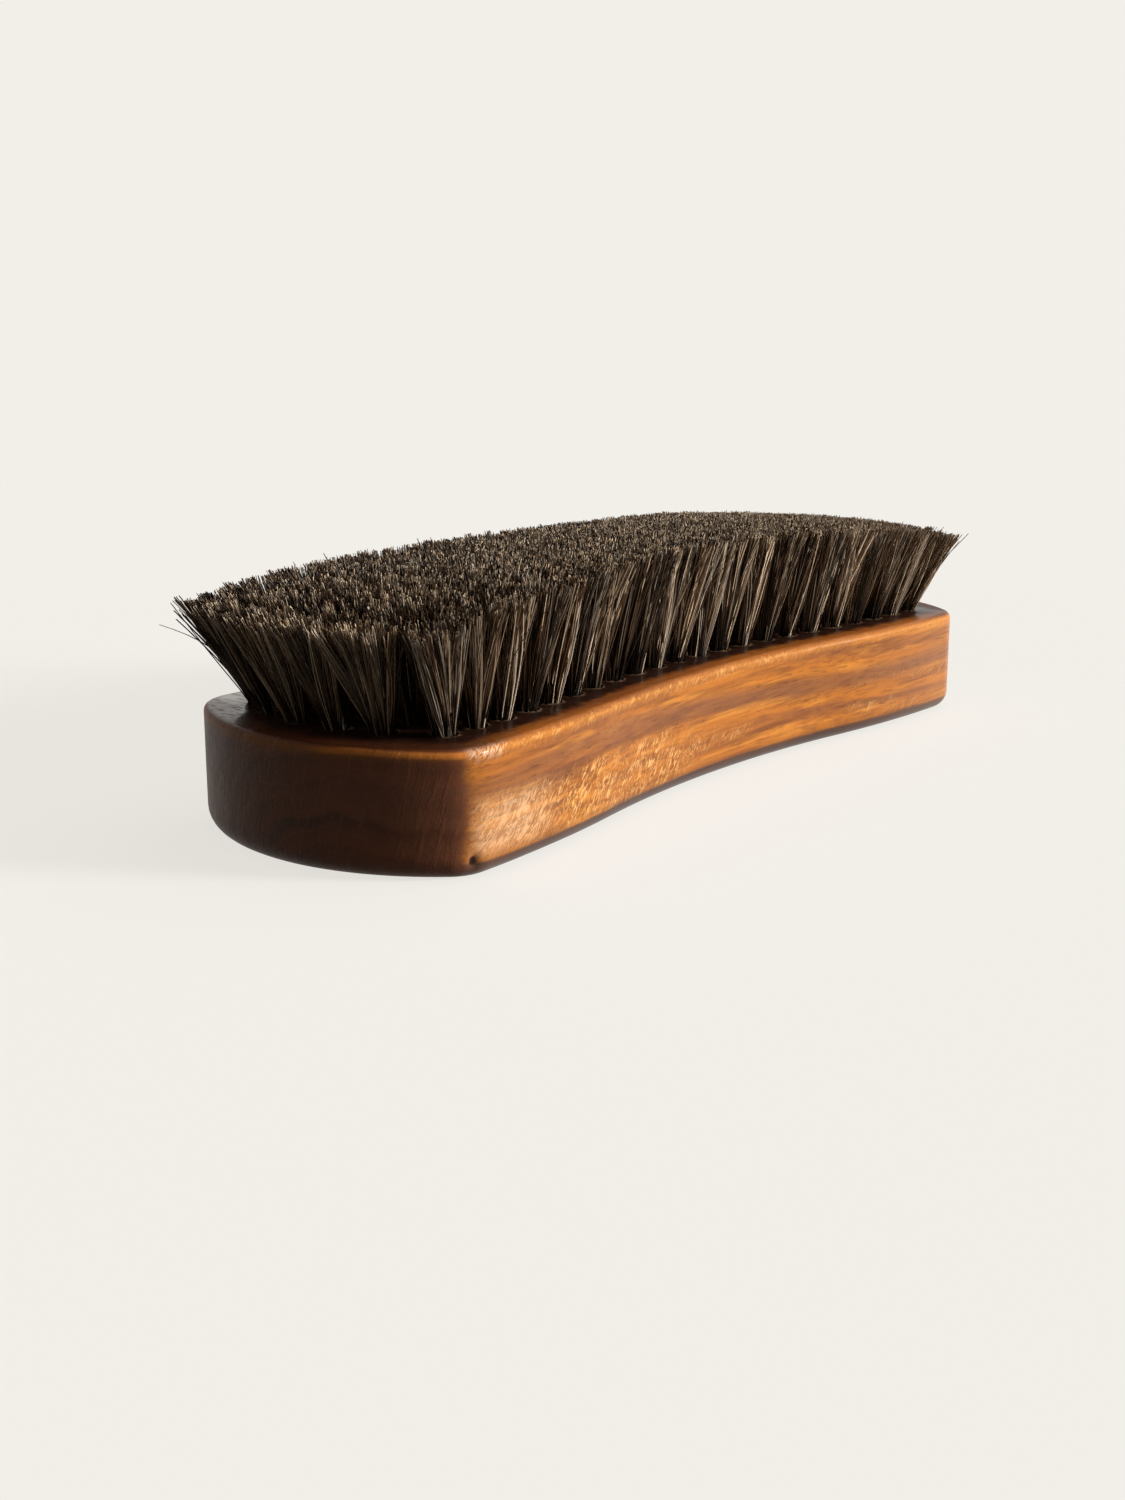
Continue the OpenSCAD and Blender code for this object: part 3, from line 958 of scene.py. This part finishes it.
class SHINE_OT_stage(bpy.types.Operator):
    """Makes the camera, the lamps, the world and the pale floor"""

    bl_idname = "shine.stage"
    bl_label = "Stage"

    def execute(self, context):
        settings = context.scene.shine_brush.stage
        self.camera(context.scene, settings)
        self.world(context.scene, settings)
        self.lamps(settings)
        self.floor(settings)
        context.scene.view_settings.view_transform = "Standard"
        return {"FINISHED"}

    @staticmethod
    def camera(scene, settings):
        data = bpy.data.cameras.new("camera")
        data.sensor_fit = "VERTICAL"
        data.sensor_height = 36
        data.lens = settings.lens
        data.clip_start = 0.01
        yaw, pitch = settings.yaw, settings.pitch
        back = settings.distance * math.cos(pitch) - settings.above * math.sin(pitch)
        height = settings.distance * math.sin(pitch) + settings.above * math.cos(pitch)
        ahead = Vector((math.sin(yaw), math.cos(yaw), 0))
        right = Vector((math.cos(yaw), -math.sin(yaw), 0))
        camera = placed("camera", data)
        camera.location = -back * ahead - settings.aside * right + Vector((0, 0, height))
        camera.rotation_euler = (math.pi / 2 - pitch, 0, -yaw)
        scene.camera = camera

    @staticmethod
    def world(scene, settings):
        world = bpy.data.worlds.new("pale_room")
        graph = bare_graph(world)
        strength = settings.fill + (1.0 - settings.fill) * rays_that_see(graph)
        sockets = {"Color": (*settings.ground, 1.0), "Strength": strength}
        background = graph.node("ShaderNodeBackground", sockets)
        graph.node("ShaderNodeOutputWorld", {"Surface": background.out(0)})
        scene.world = world

    @staticmethod
    def lamps(settings):
        for name, azimuth, elevation, breadth in SUNS:
            data = bpy.data.lights.new(name, "SUN")
            data.angle = math.radians(breadth)
            data.energy = getattr(settings, name)
            turn, lift = math.radians(azimuth), math.radians(elevation)
            across = math.cos(lift)
            way = Vector((across * math.cos(turn), across * math.sin(turn), math.sin(lift)))
            lamp = placed(name, data)
            lamp.location = way * 0.8
            lamp.rotation_euler = (-way).to_track_quat("-Z", "Y").to_euler()

    @staticmethod
    def floor(settings):
        material = bpy.data.materials.new("pale_floor")
        graph = bare_graph(material)
        seen = rays_that_see(graph)
        # The suns and the fill light the floor evenly, and what they lack of its full colour is added
        matt_share = 0.28
        lit_share = settings.fill
        for name, _, elevation, _ in SUNS:
            lit_share += getattr(settings, name) / math.pi * math.sin(math.radians(elevation))
        dim = settings.ground * settings.bounce
        shown = settings.ground * matt_share
        matt = graph.node("ShaderNodeBsdfDiffuse", {"Color": graph.mix(seen, dim, shown)})
        sockets = {"Color": (*settings.ground, 1.0), "Strength": seen * (1.0 - lit_share * matt_share)}
        lift = graph.node("ShaderNodeEmission", sockets)
        lit = graph.node("ShaderNodeAddShader", {0: matt.out(0), 1: lift.out(0)})
        clear = graph.node("ShaderNodeBsdfTransparent")
        place = graph.node("ShaderNodeTexCoord").out("Object")
        far = graph.node("ShaderNodeVectorMath", {0: place}, operation="LENGTH").out("Value")
        edge = graph.fade(far, 0.16, 0.42)
        both = graph.node("ShaderNodeMixShader", {0: edge, 1: lit.out(0), 2: clear.out(0)})
        graph.node("ShaderNodeOutputMaterial", {"Surface": both.out(0)})
        size = 0.6
        low = BLOCK_LOW.z - 0.02 * MM
        corners = [(-size, -size, low), (size, -size, low), (size, size, low), (-size, size, low)]
        mesh = bpy.data.meshes.new("floor")
        mesh.from_pydata(corners, [], [(0, 1, 2, 3)])
        mesh.materials.append(material)
        placed("floor", mesh)


class SHINE_OT_block(bpy.types.Operator):
    """Makes the varnished wooden block with its drilled face"""

    bl_idname = "shine.block"
    bl_label = "Block"

    def execute(self, context):
        settings = context.scene.shine_brush.block
        points, faces, marks = block_mesh(settings)
        piece = finish_mesh("wooden_block", points, faces, varnished_wood(settings), marks, 42)
        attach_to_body(piece, "root")
        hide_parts("block")
        return {"FINISHED"}


class SHINE_OT_hair(bpy.types.Operator):
    """Makes the rows of tufts, hair by hair"""

    bl_idname = "shine.hair"
    bl_label = "Hair"

    def execute(self, context):
        settings = context.scene.shine_brush.hair
        hole_radius = context.scene.shine_brush.block.hole_diameter / 2
        tree = hair_tree(settings, horsehair(settings))
        rows = hole_places()
        for number, node in enumerate(TUFT_ROWS):
            piece = hair_row(number, rows, tree, hole_radius)
            if number == 0:
                add_loose_hairs(piece, rows[0][-1], settings.thickness)
            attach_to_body(piece, "root")
            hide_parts(node)
        return {"FINISHED"}


class SHINE_OT_anchors(bpy.types.Operator):
    """Gives the flat wire anchors their metal"""

    bl_idname = "shine.anchors"
    bl_label = "Anchors"

    def execute(self, context):
        material = flat_wire()
        for name in ANCHOR_ROWS:
            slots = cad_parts[name].material_slots
            if not slots:
                raise RuntimeError(f"{name} has no material slot")
            for slot in slots:
                slot.material = material
        return {"FINISHED"}


OPERATORS = (SHINE_OT_stage, SHINE_OT_block, SHINE_OT_hair, SHINE_OT_anchors)


class SHINE_PT_panel(bpy.types.Panel):
    """Lists the steps and settings in the sidebar"""

    bl_idname = "SHINE_PT_panel"
    bl_label = "Shine Brush"
    bl_space_type = "VIEW_3D"
    bl_region_type = "UI"
    bl_category = "Shine Brush"

    def draw(self, context):
        settings = context.scene.shine_brush
        for group in (settings.block, settings.hair, settings.stage):
            box = self.layout.box()
            for name in group.__annotations__:
                box.prop(group, name)
        for operator in OPERATORS:
            self.layout.operator(operator.bl_idname)


CLASSES = (BlockSettings, HairSettings, StageSettings, BrushSettings, *OPERATORS, SHINE_PT_panel)


def register():
    for cls in CLASSES:
        bpy.utils.register_class(cls)
    bpy.types.Scene.shine_brush = bpy.props.PointerProperty(type=BrushSettings)


def unregister():
    del bpy.types.Scene.shine_brush
    for cls in reversed(CLASSES):
        bpy.utils.unregister_class(cls)


def main():
    register()
    bpy.ops.shine.stage()
    bpy.ops.shine.block()
    bpy.ops.shine.hair()
    bpy.ops.shine.anchors()


if __name__ == "__main__":
    main()
